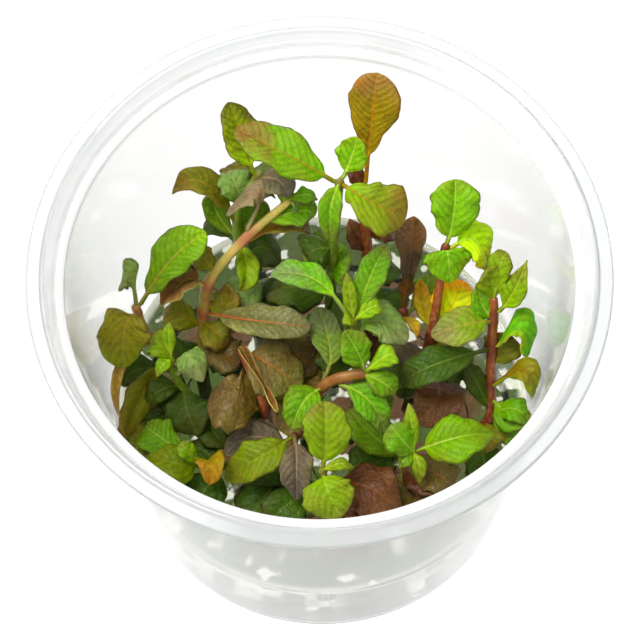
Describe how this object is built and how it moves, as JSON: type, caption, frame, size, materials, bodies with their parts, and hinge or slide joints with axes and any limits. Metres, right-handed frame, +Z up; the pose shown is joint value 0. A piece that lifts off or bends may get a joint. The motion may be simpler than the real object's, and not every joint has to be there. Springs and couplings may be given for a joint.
{
  "type": "tissue culture brown hygrophila",
  "caption": "Clear tapered plastic cup with a flanged rim, filled with young brown hygrophila shoots that stand in a clear nutrient gel, their opposite leaves green, olive and red-brown.",
  "frame": {"origin": "middle of the cup's foot, on the table it stands on", "axes": "+Z up through the middle of the cup's mouth, -Y towards the front, the side the picture is taken from, +X to the right seen from there"},
  "size_m": [0.1, 0.1, 0.08],
  "materials": {
    "cup": "clear, slightly hazy injection-moulded polypropylene",
    "gel": "clear wet agar gel",
    "stem": "smooth red-brown plant stem",
    "leaf_lime": "thin satin leaf blade with sunk veins",
    "leaf_olive": "thin satin leaf blade with sunk veins",
    "leaf_purple": "thin satin leaf blade with sunk veins",
    "leaf_brown": "thin satin leaf blade with sunk veins",
    "leaf_green": "thin satin leaf blade with sunk veins",
    "leaf_straw": "thin satin leaf blade with sunk veins",
    "leaf_grey": "thin satin leaf blade with sunk veins",
    "leaf_rust": "thin satin leaf blade with sunk veins",
    "leaf_deep": "thin satin leaf blade with sunk veins"
  },
  "bodies": {
    "root": {"cup": "cup", "nutrient_gel": "gel", "stem_crown": "stem", "leaf_crown_left": "leaf_lime", "leaf_crown_up": "leaf_lime", "leaf_crown_right": "leaf_olive", "stem_back": "stem", "leaf_tall": "leaf_olive", "stem_thick": "stem", "leaf_arched_brown": "leaf_purple", "leaf_arched_right": "leaf_brown", "leaf_long_olive": "leaf_olive", "leaf_folded_rim": "leaf_brown", "stem_upper_left": "stem", "leaf_back_dark": "leaf_olive", "stem_left": "stem", "leaf_left_green": "leaf_green", "leaf_left_brown": "leaf_olive", "leaf_dried": "leaf_straw", "stem_left_shoot": "stem", "leaf_grey_folded": "leaf_grey", "stem_mid_left": "stem", "leaf_brown_mid": "leaf_brown", "leaf_spoon": "leaf_olive", "leaf_round_brown": "leaf_brown", "stem_centre": "stem", "leaf_centre_left": "leaf_lime", "leaf_centre_up": "leaf_green", "leaf_centre_round": "leaf_grey", "stem_rosette": "stem", "leaf_rosette_back": "leaf_green", "leaf_drooping": "leaf_green", "leaf_grey_up": "leaf_grey", "leaf_glossy": "leaf_green", "stem_front_left": "stem", "leaf_olive_front": "leaf_olive", "leaf_grey_purple": "leaf_purple", "stem_front": "stem", "leaf_front_up": "leaf_lime", "leaf_front_down": "leaf_lime", "leaf_brown_front": "leaf_rust", "stem_left_front": "stem", "leaf_lime_front": "leaf_lime", "leaf_green_round": "leaf_green", "stem_right_front": "stem", "leaf_bright_right": "leaf_green", "stem_mid_right": "stem", "leaf_red_brown": "leaf_rust", "stem_right_crown": "stem", "leaf_right_up": "leaf_lime", "leaf_right_down": "leaf_green", "leaf_right_yellow": "leaf_lime", "leaf_orange": "leaf_straw", "leaf_brown_right": "leaf_rust", "stem_right": "stem", "leaf_dark_right": "leaf_deep", "leaf_yellow_green": "leaf_grey", "leaf_sprig_right": "leaf_green", "leaf_sprig_low": "leaf_green", "leaf_sprig_curled": "leaf_olive"}
  },
  "joints": []
}
